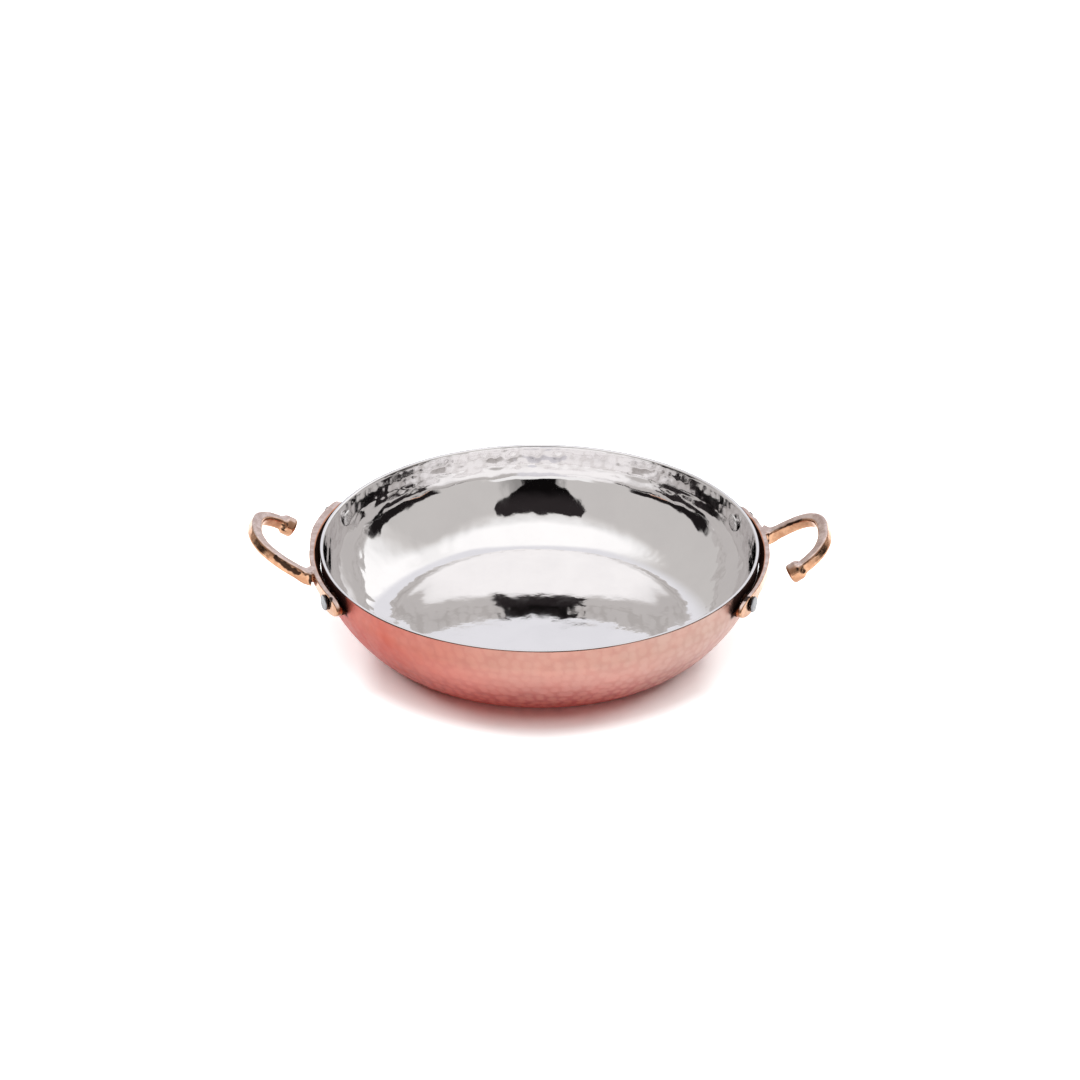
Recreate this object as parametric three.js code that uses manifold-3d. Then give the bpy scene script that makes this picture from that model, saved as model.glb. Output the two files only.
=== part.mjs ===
// Two-handled egg pan: a round copper pan with a curved side and a flat base,
// and two cast bronze handles. Each handle is a strap bowed round the wall,
// held off it by a boss and a rivet through an ear at each end, with an open
// hook rising from it.
// Millimetres, +Z up, the handles along X, the origin at the middle of the
// base's underside. The pan is level, and its rim is a circle about the Z axis.
import * as THREE from 'three';
import { mergeVertices } from 'three/addons/utils/BufferGeometryUtils.js';
import Module from 'manifold-3d';

const wasm = await Module();
wasm.setup();

// ---- driving dimensions -------------------------------------------------
const RIM_R = 110;           // outer radius at the rim
const PAN_H = 47.5;          // height of the rim above the base
const WALL = 2.0;            // sheet thickness of the wall
const FLOOR_T = 2.3;         // thickness of the floor
const BAND_H = 10.0;         // almost upright band under the rim
const BAND_R = 109.5;        // outer radius at the foot of the band
const SIDE_DEPTH = 41.0;     // depth of the side's curve, if it ran on below the base
const SIDE_INNER_R = 73.1;   // radius at which that curve would turn level
const SIDE_POWER = 1.5;      // roundness of the side's curve (2 is an ellipse)
const BASE_FILLET = 14;      // rounding between the side and the base
const FLOOR_R = 72.2;        // radius of the flat floor inside
const RIM_ROUND = 0.45;      // rounding of the rim's two edges
const AROUND = 60;           // facets round the pan

const STRAP_DROP = 2.8;      // strap's top face below the rim
const STRAP_H = 6.4;         // height of the strap
const STRAP_IN_R = 112.1;    // inner face of the strap at its top, 2 mm clear of the rim
const STRAP_LEAN = 2.2;      // the inner face leans in to the wall by this at its foot
const STRAP_OUT_R = 115.3;   // outer face of the strap
const EAR_H = 10.4;          // height of the ear
const EAR_LEAD_DEG = 5.5;    // the strap starts to widen this far before the rivet
const EAR_FULL_DEG = 2.2;    // and has the ear's height this far before it
const SWELL_DEG = 14;        // the strap has its end thickness from here on
const BOSS_R = 4.2;          // round boss between ear and wall, about the rivet
const BOSS_IN_R = 110.1;     // face of the boss, next to the wall
const STRAP_EDGE = 0.7;      // broken edges of the strap

const HOOK_REACH = 26.3;     // depth of the hook's U, along its own plane
const HOOK_HALF_W = 22.8;    // half the width of the U, centre of bar
const HOOK_POWER = 2.55;     // squareness of the U (2 is an ellipse)
const HOOK_TILT_DEG = 32;    // the hook's plane rises outwards
const HOOK_ROLL_DEG = 2.7;   // and dips towards its free end
const HOOK_X = 119.8;        // where the U starts, from the pan's axis
const HOOK_SHIFT = 0.7;      // shift of the U towards its free end
const HOOK_DROP = 5.8;       // start of the U below the rim
const HOOK_END = 2.0;        // the free end stops this far short of the start line
const ROOT_X = 112.9;        // root of the stem, inside the strap
const ROOT_Y = 22.4;         // offset of the stem from the handle's middle
const ROOT_DROP = 6.6;       // root below the rim
const BAR = 6.1;             // side of the bar's square section
const BAR_ROUND = 1.3;       // rounding of its corners
const ROOT_FLARE = 1.32;     // the stem is this much taller where it meets the strap
const ROOT_LEN = 9;          // length of that flare
const ROOT_WIDEN = 1.1;      // and wider, in a fillet each side
const ROOT_WIDEN_LEN = 7;    // length of the fillets
const KNOB_D = 10.4;         // knob at the free end
const KNOB_LEN = 7.6;        // length of the knob
const KNOB_FACE = 7.2;       // flat face at its end

// The handles are made by hand, so each half has its own rivet place (degrees
// from the handle's middle, and drop below the rim), ear end, outer radius at
// the ear, and radius of the rivet's inner head.
const HALVES = {
  right: {
    back: { rivet: 22.4, drop: 8.9, end: 28.6, outR: 115.2, innerHeadR: 4.6 },
    front: { rivet: 24.0, drop: 8.0, end: 30.5, outR: 114.7, innerHeadR: 4.2 },
  },
  left: {
    back: { rivet: 23.5, drop: 8.2, end: 29.4, outR: 117.0, innerHeadR: 4.2 },
    front: { rivet: 24.0, drop: 8.0, end: 30.5, outR: 115.2, innerHeadR: 4.2 },
  },
};

const SHANK_R = 2.3;         // radius of the rivets' shanks
const HEAD_R = 4.0;          // radius of the outer heads
const HEAD_T = 1.25;         // outer head
const INNER_HEAD_T = 1.1;    // inner head
const GAP = 0.3;             // clearance round the shanks and under the heads

// ---- helpers ------------------------------------------------------------
const rad = THREE.MathUtils.degToRad;
const lerp = THREE.MathUtils.lerp;
const ramp = (x, a, b) => THREE.MathUtils.smoothstep(x, a, b);

function signedVolume(geometry) {
  const p = geometry.attributes.position, ix = geometry.index;
  const a = new THREE.Vector3(), b = new THREE.Vector3(), c = new THREE.Vector3();
  let v = 0;
  for (let i = 0; i < ix.count; i += 3) {
    a.fromBufferAttribute(p, ix.getX(i));
    b.fromBufferAttribute(p, ix.getX(i + 1));
    c.fromBufferAttribute(p, ix.getX(i + 2));
    v += a.dot(b.cross(c)) / 6;
  }
  return v;
}

// merged shared vertices, no zero-area faces, faces pointing out
function clean(geometry) {
  const g = geometry.clone();
  g.deleteAttribute('normal');
  g.deleteAttribute('uv');
  const merged = mergeVertices(g, 1e-4);
  const out = [];
  const ix = merged.index;
  for (let i = 0; i < ix.count; i += 3) {
    const a = ix.getX(i), b = ix.getX(i + 1), c = ix.getX(i + 2);
    if (a !== b && b !== c && c !== a) out.push(a, b, c);
  }
  merged.setIndex(out);
  if (signedVolume(merged) < 0) {
    for (let i = 0; i < out.length; i += 3) [out[i + 1], out[i + 2]] = [out[i + 2], out[i + 1]];
    merged.setIndex(out);
  }
  return merged;
}

function toSolid(geometry) {
  const g = clean(geometry);
  return new wasm.Manifold(new wasm.Mesh({
    numProp: 3,
    vertProperties: new Float32Array(g.attributes.position.array),
    triVerts: new Uint32Array(g.index.array),
  }));
}

function toGeometry(solid) {
  const m = solid.getMesh();
  const g = new THREE.BufferGeometry();
  const n = m.vertProperties.length / m.numProp;
  const pos = new Float32Array(n * 3);
  for (let i = 0; i < n; i++) for (let k = 0; k < 3; k++) pos[3 * i + k] = m.vertProperties[i * m.numProp + k];
  g.setAttribute('position', new THREE.BufferAttribute(pos, 3));
  g.setIndex(new THREE.BufferAttribute(new Uint32Array(m.triVerts), 1));
  g.computeVertexNormals();
  return g;
}

// a straight bar of the given section, one unit long, whose every point is
// then moved by place(x, y, t)
function formedBar(section, steps, curveSegments, place) {
  const g = new THREE.ExtrudeGeometry(section, { depth: 1, steps, curveSegments, bevelEnabled: false });
  const p = g.attributes.position;
  for (let i = 0; i < p.count; i++) {
    const v = place(p.getX(i), p.getY(i), p.getZ(i));
    p.setXYZ(i, v.x, v.y, v.z);
  }
  return g;
}

// a rectangle from (x0, y0) to (x1, y1) with rounded corners
function roundedRect(x0, y0, x1, y1, r) {
  const s = new THREE.Shape();
  s.moveTo(x0 + r, y0);
  s.lineTo(x1 - r, y0);
  s.quadraticCurveTo(x1, y0, x1, y0 + r);
  s.lineTo(x1, y1 - r);
  s.quadraticCurveTo(x1, y1, x1 - r, y1);
  s.lineTo(x0 + r, y1);
  s.quadraticCurveTo(x0, y1, x0, y1 - r);
  s.lineTo(x0, y0 + r);
  s.quadraticCurveTo(x0, y0, x0 + r, y0);
  return s;
}

// ---- the pan ------------------------------------------------------------
// outer radius at a depth below the rim
function sideRadius(depth) {
  if (depth <= BAND_H) return lerp(RIM_R, BAND_R, depth / BAND_H);
  const k = (depth - BAND_H) / SIDE_DEPTH;
  return SIDE_INNER_R + (BAND_R - SIDE_INNER_R) * Math.pow(1 - Math.pow(k, SIDE_POWER), 1 / SIDE_POWER);
}
// the same surface moved inwards by the wall's thickness
function innerPoint(depth) {
  const e = 0.01;
  const dr = (sideRadius(depth + e) - sideRadius(depth - e)) / (2 * e);
  const len = Math.hypot(1, dr);
  return new THREE.Vector2(sideRadius(depth) - WALL / len, PAN_H - depth - (WALL * dr) / len);
}

// depth at which a circle of the given radius, standing on the level line
// z = level, touches the side's curve from inside
function levelFillet(point, level, radius, from, to) {
  let lo = from, hi = to;
  const miss = (d) => {
    const e = 0.02;
    const a = point(d - e), b = point(d + e);
    const t = b.clone().sub(a).normalize();        // heading down and in
    const n = new THREE.Vector2(t.y, -t.x);        // towards the axis and up
    if (n.y < 0) n.negate();
    return point(d).y + n.y * radius - (level + radius);
  };
  for (let i = 0; i < 60; i++) {
    const mid = (lo + hi) / 2;
    if (miss(mid) > 0) lo = mid; else hi = mid;
  }
  return (lo + hi) / 2;
}

function panProfile() {
  const pts = [];
  // outside, from the axis: base, fillet, side, band
  const outer = (d) => new THREE.Vector2(sideRadius(d), PAN_H - d);
  const dOut = levelFillet(outer, 0, BASE_FILLET, 20, PAN_H + 1.5);
  const pOut = outer(dOut);
  const e = 0.02;
  const tOut = outer(dOut - e).sub(outer(dOut + e)).normalize();
  const nOut = new THREE.Vector2(-tOut.y, tOut.x);
  const cOut = pOut.clone().addScaledVector(nOut, BASE_FILLET);
  const aOut = Math.atan2(pOut.y - cOut.y, pOut.x - cOut.x);
  pts.push(new THREE.Vector2(0, 0));
  const nf = 3;
  for (let i = 0; i <= nf; i++) {
    const a = lerp(-Math.PI / 2, aOut, i / nf);
    pts.push(new THREE.Vector2(cOut.x + BASE_FILLET * Math.cos(a), Math.max(0, cOut.y + BASE_FILLET * Math.sin(a))));
  }
  const ns = 9;
  for (let i = 1; i <= ns; i++) {
    const k = i / ns;
    pts.push(outer(lerp(dOut, BAND_H, k * (0.75 + 0.25 * k))));
  }
  // rim
  pts.push(new THREE.Vector2(RIM_R, PAN_H - RIM_ROUND));
  pts.push(new THREE.Vector2(RIM_R - RIM_ROUND, PAN_H));
  const inTop = RIM_R - WALL;
  pts.push(new THREE.Vector2(inTop + RIM_ROUND, PAN_H));
  pts.push(new THREE.Vector2(inTop, PAN_H - RIM_ROUND));
  // inside: band, side, then a wide arc that meets the floor at FLOOR_R
  const inner = (d) => innerPoint(d);
  let dIn = 30, best = Infinity, rIn = 10;
  for (let d = 25; d < PAN_H - FLOOR_T; d += 0.01) {
    const p = inner(d);
    const t = inner(d - e).sub(inner(d + e)).normalize();
    const n = new THREE.Vector2(-t.y, t.x);
    // radius that lands on the floor, and where it lands
    const r = (p.y - FLOOR_T) / (1 - n.y);
    const land = p.x + n.x * r;
    if (Math.abs(land - FLOOR_R) < best) { best = Math.abs(land - FLOOR_R); dIn = d; rIn = r; }
  }
  const ni = 9;
  for (let i = 0; i <= ni; i++) {
    const k = i / ni;
    pts.push(inner(lerp(BAND_H + 0.8, dIn, k * (1.15 - 0.15 * k))));
  }
  const pIn = inner(dIn);
  const tIn = inner(dIn - e).sub(inner(dIn + e)).normalize();
  const nIn = new THREE.Vector2(-tIn.y, tIn.x);
  const cIn = pIn.clone().addScaledVector(nIn, rIn);
  const aIn = Math.atan2(pIn.y - cIn.y, pIn.x - cIn.x);
  const ng = 3;
  for (let i = 1; i <= ng; i++) {
    const a = lerp(aIn, -Math.PI / 2, i / ng);
    pts.push(new THREE.Vector2(cIn.x + rIn * Math.cos(a), cIn.y + rIn * Math.sin(a)));
  }
  pts.push(new THREE.Vector2(0, FLOOR_T));
  return pts;
}

// rivet angles about Z, measured from +X
const rivetSpots = {
  rivet_right_back: { angle: HALVES.right.back.rivet, ...HALVES.right.back },
  rivet_left_back: { angle: 180 - HALVES.left.back.rivet, ...HALVES.left.back },
  rivet_left_front: { angle: 180 + HALVES.left.front.rivet, ...HALVES.left.front },
  rivet_right_front: { angle: -HALVES.right.front.rivet, ...HALVES.right.front },
};

// a round bar along the radius at a rivet's place
function radialBar(radius, from, to, angleDeg, drop, sides = 16) {
  const g = new THREE.CylinderGeometry(radius, radius, to - from, sides);
  g.rotateZ(-Math.PI / 2);
  g.translate((from + to) / 2, 0, 0);
  g.rotateZ(rad(angleDeg));
  g.translate(0, 0, PAN_H - drop);
  return toSolid(g);
}
function shankHole(angleDeg, drop) {
  return radialBar(SHANK_R + GAP, RIM_R - 12, RIM_R + 12, angleDeg, drop);
}

function makePan() {
  const g = new THREE.LatheGeometry(panProfile(), AROUND);
  g.rotateX(Math.PI / 2);
  let solid = toSolid(g);
  for (const spot of Object.values(rivetSpots)) solid = solid.subtract(shankHole(spot.angle, spot.drop));
  return toGeometry(solid);
}

// ---- a handle, for the +X side ------------------------------------------
// plus and minus are the halves on the +Y and -Y sides
function makeStrap(plus, minus) {
  const section = roundedRect(0, 0, 1, 1, 0.2);
  return formedBar(section, 44, 1, (x, y, t) => {
    // stations closer together towards the rounded ends
    const u = 2 * t - 1;
    const half = u > 0 ? plus : minus;
    const end = rad(half.end), rivet = rad(half.rivet);
    const phi = end * Math.sin(u * Math.PI / 2) * 0.35 + end * u * 0.65;
    const deg = Math.abs(THREE.MathUtils.radToDeg(phi));
    const ear = ramp(deg, half.rivet - EAR_LEAD_DEG, half.rivet - EAR_FULL_DEG);
    const rOut = lerp(STRAP_OUT_R, half.outR, ramp(deg, 0, SWELL_DEG));
    const top = PAN_H - lerp(STRAP_DROP, half.drop - EAR_H / 2, ear);
    const bottom = top - lerp(STRAP_H, EAR_H, ear);
    const past = Math.max(0, (Math.abs(phi) - rivet) / (end - rivet));
    const keep = Math.sqrt(Math.max(0.06, 1 - Math.pow(past, 2.4)));
    const mid = (top + bottom) / 2, tall = (top - bottom) / 2 * keep;
    // unit section to real sizes, with the corner rounding kept at STRAP_EDGE
    const edge = (c, size) => {
      const r = Math.min(STRAP_EDGE, size * 0.3) / size;
      if (c < 0.5) return c <= 0.2 ? c * r / 0.2 : r + (c - 0.2) * (0.5 - r) / 0.3;
      return c >= 0.8 ? 1 - (1 - c) * r / 0.2 : 1 - r - (0.8 - c) * (0.5 - r) / 0.3;
    };
    const up = edge(y, 2 * tall);
    const rIn = STRAP_IN_R - STRAP_LEAN * (1 - up);
    const rr = lerp(rIn, rOut, edge(x, rOut - rIn));
    const zz = mid - tall + 2 * tall * up;
    return new THREE.Vector3(rr * Math.cos(phi), rr * Math.sin(phi), zz);
  });
}

// the hook's own plane: along (outwards and up), across (towards the free
// end, which is the -Y side of this handle) and its normal
const tilt = rad(HOOK_TILT_DEG), roll = rad(HOOK_ROLL_DEG);
const hookUp = new THREE.Vector3(-Math.sin(tilt) * Math.cos(roll), -Math.sin(roll), Math.cos(tilt) * Math.cos(roll));
const hookAlong = new THREE.Vector3(Math.cos(tilt), 0, Math.sin(tilt));
const hookAcross = new THREE.Vector3().crossVectors(hookAlong, hookUp).normalize();
const hookStart = new THREE.Vector3(HOOK_X, -HOOK_SHIFT, PAN_H - HOOK_DROP);

function hookPath() {
  const pts = [];
  pts.push(new THREE.Vector3(ROOT_X, ROOT_Y, PAN_H - ROOT_DROP));
  pts.push(new THREE.Vector3(lerp(ROOT_X, HOOK_X, 0.5), ROOT_Y, PAN_H - lerp(ROOT_DROP, HOOK_DROP, 0.32)));
  const n = 30;
  for (let i = 0; i <= n; i++) {
    const a = lerp(-Math.PI / 2 + 0.05, Math.PI / 2, i / n);
    const s = HOOK_REACH * Math.pow(Math.max(0, Math.cos(a)), 2 / HOOK_POWER);
    const w = HOOK_HALF_W * Math.sign(Math.sin(a)) * Math.pow(Math.abs(Math.sin(a)), 2 / HOOK_POWER);
    if (a > 0 && s < HOOK_END) break;
    pts.push(hookStart.clone().addScaledVector(hookAlong, s).addScaledVector(hookAcross, w));
  }
  return new THREE.CatmullRomCurve3(pts, false, 'centripetal');
}

function makeHook() {
  const path = hookPath();
  const length = path.getLength();
  const h = BAR / 2;
  const section = roundedRect(-1, -1, 1, 1, BAR_ROUND / h * 1.25);
  const steps = 46;
  return formedBar(section, steps, 2, (x, y, t) => {
    // stations closer together along the knob
    const fromEnd = length * (1 - t);
    let u = t;
    const kt = 0.80;                                  // share of the steps before the knob
    const ku = 1 - (KNOB_LEN + 1.5) / length;
    u = t < kt ? t * ku / kt : ku + (t - kt) * (1 - ku) / (1 - kt);
    const p = path.getPointAt(u);
    const tan = path.getTangentAt(u);
    const side = new THREE.Vector3().crossVectors(tan, hookUp).normalize();
    const up = new THREE.Vector3().crossVectors(side, tan).normalize();
    const s = length * u, e = length * (1 - u);
    const flare = 1 + (ROOT_FLARE - 1) * Math.pow(Math.max(0, 1 - s / ROOT_LEN), 1.5);
    const widen = 1 + ROOT_WIDEN * Math.pow(Math.max(0, 1 - s / ROOT_WIDEN_LEN), 2.2);
    // knob: neck, swelling, then the rounded edge of its flat face
    const swell = ramp(KNOB_LEN - e, -0.6, 2.6);
    let size = lerp(BAR, KNOB_D, swell);
    const edge = 1.6;
    if (e < edge) {
      const k = 1 - e / edge;
      size = lerp(KNOB_FACE, KNOB_D, Math.sqrt(Math.max(0, 1 - k * k)));
    }
    // the knob is rounder than the bar
    const round = swell;
    const len = Math.hypot(x, y) || 1;
    const rx = lerp(x, x / len, round), ry = lerp(y, y / len, round);
    const half = size / 2;
    return p.clone().addScaledVector(side, rx * half * widen).addScaledVector(up, ry * half * flare);
  });
}

function makeHandle(plus, minus) {
  let solid = toSolid(makeStrap(plus, minus)).add(toSolid(makeHook()));
  for (const [half, sign] of [[plus, 1], [minus, -1]]) {
    solid = solid.add(radialBar(BOSS_R, BOSS_IN_R, STRAP_IN_R + 1, sign * half.rivet, half.drop, 12));
    solid = solid.subtract(shankHole(sign * half.rivet, half.drop));
  }
  return toGeometry(solid);
}

// ---- a rivet along +X, placed by its node --------------------------------
function makeRivet({ drop, outR, innerHeadR }) {
  // the flat underside of the inner head clears the hollow wall at its edge
  const wallIn = innerPoint(drop + innerHeadR + 0.6).x * Math.cos(Math.PI / AROUND);
  const x0 = Math.sqrt(wallIn * wallIn - innerHeadR * innerHeadR) - GAP;
  const x1 = outR + GAP;                              // underside of the outer head
  const prof = [
    new THREE.Vector2(0, x0 - INNER_HEAD_T),
    new THREE.Vector2(innerHeadR * 0.62, x0 - INNER_HEAD_T * 0.94),
    new THREE.Vector2(innerHeadR * 0.92, x0 - INNER_HEAD_T * 0.6),
    new THREE.Vector2(innerHeadR, x0 - INNER_HEAD_T * 0.22),
    new THREE.Vector2(innerHeadR, x0),
    new THREE.Vector2(SHANK_R, x0),
    new THREE.Vector2(SHANK_R, x1),
    new THREE.Vector2(HEAD_R, x1),
    new THREE.Vector2(HEAD_R, x1 + HEAD_T * 0.55),
    new THREE.Vector2(HEAD_R * 0.9, x1 + HEAD_T * 0.88),
    new THREE.Vector2(HEAD_R * 0.6, x1 + HEAD_T),
    new THREE.Vector2(0, x1 + HEAD_T),
  ];
  const g = new THREE.LatheGeometry(prof, 16);        // about local Y
  g.rotateZ(-Math.PI / 2);                            // local Y becomes +X
  return toGeometry(toSolid(g));
}

// ---- the scene graph ------------------------------------------------------
const copper = new THREE.MeshStandardMaterial({ color: 0xd98a78, roughness: 0.32, metalness: 1 });
const bronze = new THREE.MeshStandardMaterial({ color: 0xd9ab90, roughness: 0.2, metalness: 1 });
const rivetMetal = new THREE.MeshStandardMaterial({ color: 0xc9c8cb, roughness: 0.3, metalness: 1 });

const pan = new THREE.Group();

const body = new THREE.Mesh(makePan(), copper);
body.name = 'pan_body';
pan.add(body);

// the left handle is the right one turned half round, so its +Y half is in front
const handles = {
  handle_right: [HALVES.right.back, HALVES.right.front, 0],
  handle_left: [HALVES.left.front, HALVES.left.back, Math.PI],
};
for (const [name, [plus, minus, turn]] of Object.entries(handles)) {
  const mesh = new THREE.Mesh(makeHandle(plus, minus), bronze.clone());
  mesh.name = name;
  mesh.rotation.z = turn;
  pan.add(mesh);
}

for (const [name, spot] of Object.entries(rivetSpots)) {
  const mesh = new THREE.Mesh(makeRivet(spot), rivetMetal.clone());
  mesh.name = name;
  mesh.rotation.z = rad(spot.angle);
  mesh.position.z = PAN_H - spot.drop;
  pan.add(mesh);
}

export default pan;
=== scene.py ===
import math

import bpy
import numpy as np
from mathutils import Matrix, Vector


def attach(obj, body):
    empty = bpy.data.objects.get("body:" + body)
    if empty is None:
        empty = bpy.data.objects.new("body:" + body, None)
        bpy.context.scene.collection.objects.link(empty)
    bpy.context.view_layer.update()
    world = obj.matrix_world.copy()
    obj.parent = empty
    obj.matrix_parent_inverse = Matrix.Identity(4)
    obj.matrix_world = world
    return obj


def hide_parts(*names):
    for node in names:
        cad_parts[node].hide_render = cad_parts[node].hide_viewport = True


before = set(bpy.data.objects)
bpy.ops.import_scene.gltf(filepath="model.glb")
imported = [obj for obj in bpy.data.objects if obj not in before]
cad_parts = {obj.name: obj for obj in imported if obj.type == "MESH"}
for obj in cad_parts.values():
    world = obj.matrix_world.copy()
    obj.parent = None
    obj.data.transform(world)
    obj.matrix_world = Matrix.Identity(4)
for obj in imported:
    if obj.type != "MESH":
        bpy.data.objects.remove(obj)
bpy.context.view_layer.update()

MM = 0.001
TAU = 2 * math.pi

# ---- driving dimensions, the same as the CAD's, in millimetres and degrees ----
RIM_R, PAN_H, WALL, FLOOR_T = 110.0, 47.5, 2.0, 2.3
BAND_H, BAND_R, SIDE_DEPTH, SIDE_INNER_R, SIDE_POWER = 10.0, 109.5, 41.0, 73.1, 1.5
BASE_FILLET, FLOOR_R, RIM_ROUND = 14.0, 72.2, 0.45

STRAP_DROP, STRAP_H, STRAP_IN_R, STRAP_LEAN, STRAP_OUT_R = 2.8, 6.4, 112.1, 2.2, 115.3
EAR_H, EAR_LEAD, EAR_FULL, SWELL, STRAP_EDGE = 10.4, 5.5, 2.2, 14.0, 0.7
BOSS_R, BOSS_IN_R = 4.2, 110.1
HALVES = {
    ("right", "back"): dict(rivet=22.4, drop=8.9, end=28.6, outR=115.2, inner=4.6),
    ("right", "front"): dict(rivet=24.0, drop=8.0, end=30.5, outR=114.7, inner=4.2),
    ("left", "back"): dict(rivet=23.5, drop=8.2, end=29.4, outR=117.0, inner=4.2),
    ("left", "front"): dict(rivet=24.0, drop=8.0, end=30.5, outR=115.2, inner=4.2),
}

HOOK_REACH, HOOK_HALF_W, HOOK_POWER = 26.3, 22.8, 2.55
HOOK_TILT, HOOK_ROLL = math.radians(32), math.radians(2.7)
HOOK_X, HOOK_SHIFT, HOOK_DROP, HOOK_END = 119.8, 0.7, 5.8, 2.0
ROOT_X, ROOT_Y, ROOT_DROP = 112.9, 22.4, 6.6
BAR, BAR_ROUND, ROOT_FLARE, ROOT_LEN = 6.1, 1.3, 1.32, 9.0
ROOT_WIDEN, ROOT_WIDEN_LEN = 1.1, 7.0
KNOB_D, KNOB_LEN, KNOB_FACE = 10.4, 7.6, 7.2
SHANK_R, HEAD_R, HEAD_T, INNER_HEAD_T, GAP = 2.3, 4.0, 1.25, 1.1, 0.3


def lerp(a, b, t):
    return a + (b - a) * t


def ramp(x, a, b):
    t = np.clip((np.asarray(x, float) - a) / (b - a), 0, 1)
    return t * t * (3 - 2 * t)


# ---- the pan's profile ---------------------------------------------------
def side_radius(depth):
    depth = np.asarray(depth, float)
    k = np.clip((depth - BAND_H) / SIDE_DEPTH, 0, 1)
    curve = SIDE_INNER_R + (BAND_R - SIDE_INNER_R) * (1 - k ** SIDE_POWER) ** (1 / SIDE_POWER)
    return np.where(depth <= BAND_H, lerp(RIM_R, BAND_R, depth / BAND_H), curve)


def outer_point(depth):
    return np.stack([side_radius(depth), PAN_H - np.asarray(depth, float)], -1)


def inner_point(depth):
    e = 0.01
    dr = (side_radius(depth + e) - side_radius(depth - e)) / (2 * e)
    length = np.hypot(1, dr)
    return np.stack([side_radius(depth) - WALL / length, PAN_H - depth - WALL * dr / length], -1)


def tangent_in(point, depth):
    """unit tangent pointing up the wall and the normal to its left (in and up)"""
    e = 0.02
    t = point(depth - e) - point(depth + e)
    t = t / np.linalg.norm(t)
    return t, np.array([-t[1], t[0]])


def arc(centre, radius, a0, a1, n):
    a = np.linspace(a0, a1, n)
    return np.stack([centre[0] + radius * np.cos(a), centre[1] + radius * np.sin(a)], -1)


def outer_curve():
    """from the rim's outer edge down to the axis"""
    lo, hi = 20.0, PAN_H + 1.4
    for _ in range(60):
        mid = (lo + hi) / 2
        _, n = tangent_in(outer_point, mid)
        if outer_point(mid)[1] + n[1] * BASE_FILLET - BASE_FILLET > 0:
            lo = mid
        else:
            hi = mid
    p = outer_point(lo)
    _, n = tangent_in(outer_point, lo)
    c = p + n * BASE_FILLET
    a = math.atan2(p[1] - c[1], p[0] - c[0])
    lip = arc((RIM_R - RIM_ROUND, PAN_H - RIM_ROUND), RIM_ROUND, math.radians(60), 0, 8)
    side = outer_point(np.linspace(RIM_ROUND, lo, 1500)[1:])
    fillet = arc(c, BASE_FILLET, a, -math.pi / 2, 200)[1:]
    base = np.stack([np.linspace(c[0], 0, 400)[1:], np.zeros(399)], -1)
    return np.concatenate([lip, side, fillet, base])


def inner_curve():
    """from the rim's inner edge down to the axis"""
    best = None
    for d in np.arange(25, PAN_H - FLOOR_T, 0.01):
        p = inner_point(d)
        _, n = tangent_in(inner_point, d)
        r = (p[1] - FLOOR_T) / (1 - n[1])
        miss = abs(p[0] + n[0] * r - FLOOR_R)
        if best is None or miss < best[0]:
            best = (miss, d, r, p, n)
    _, d, r, p, n = best
    c = p + n * r
    a = math.atan2(p[1] - c[1], p[0] - c[0])
    side = inner_point(np.linspace(RIM_ROUND, d, 1500))
    foot = arc(c, r, a, -math.pi / 2, 300)[1:]
    floor = np.stack([np.linspace(FLOOR_R, 0, 400)[1:], np.full(399, FLOOR_T)], -1)
    return np.concatenate([side, foot, floor])


def arc_length(curve):
    return np.concatenate([[0], np.cumsum(np.linalg.norm(np.diff(curve, axis=0), axis=1))])


def resample(curve, spacing):
    """rows along a curve, spacing(s) apart"""
    s = arc_length(curve)
    at, x = [0.0], 0.0
    while x < s[-1]:
        x += spacing(x)
        at.append(min(x, s[-1]))
    if len(at) > 2 and at[-1] - at[-2] < 0.3 * spacing(x):
        at.pop(-2)
    at = np.array(at)
    pts = np.stack([np.interp(at, s, curve[:, k]) for k in (0, 1)], -1)
    fine = np.gradient(curve, s + np.arange(len(s)) * 1e-9, axis=0)
    tan = np.stack([np.interp(at, s, fine[:, k]) for k in (0, 1)], -1)
    tan /= np.linalg.norm(tan, axis=1)[:, None]
    return at, pts, tan


# ---- hammering -------------------------------------------------------------
class Blows:
    """Hammer blows in rows round the pan. height() is 0 in a blow's middle and
    rises with the square of the distance, up to a soft ridge between blows."""

    def __init__(self, s_curve, r_curve, cell, seed, jitter=0.3, tall=1.0):
        self.cell, self.tall = cell, cell * tall
        rng = np.random.default_rng(seed)
        rows = int(s_curve[-1] / self.tall) + 8
        mid = (np.arange(rows) - 3 + 0.5) * self.tall
        r = np.interp(mid, s_curve, r_curve)
        self.n = np.maximum(3, np.round(TAU * r / cell).astype(int))
        width = int(self.n.max()) + 1
        self.jx = rng.uniform(-jitter, jitter, (rows, width))
        self.js = rng.uniform(-jitter, jitter, (rows, width))
        self.size = rng.uniform(-1, 1, (rows, width))
        self.phase = rng.uniform(0, 1, rows)
        self.rows = rows

    def height(self, theta, s, r, soft=0.7):
        """distance squared in mm2 to the nearest blow, softened at the ridges"""
        base = np.floor(s / self.tall).astype(int)
        d2s = []
        for di in (-1, 0, 1):
            i = np.clip(base + di + 3, 0, self.rows - 1)
            n = self.n[i]
            f = theta / TAU * n - self.phase[i]
            col = np.floor(f).astype(int)
            for dj in (-1, 0, 1):
                j = (col + dj) % n
                dx = (f - (col + dj + 0.5 + self.jx[i, j])) * TAU * r / n
                ds = s - (base + di + 0.5 + self.js[i, j]) * self.tall
                d2s.append(dx * dx + ds * ds + self.size[i, j] * 0.06 * self.cell ** 2)
        d2 = np.stack(d2s)
        low = d2.min(0)
        return low - np.log(np.exp(-(d2 - low) * soft).sum(0)) / soft


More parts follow.
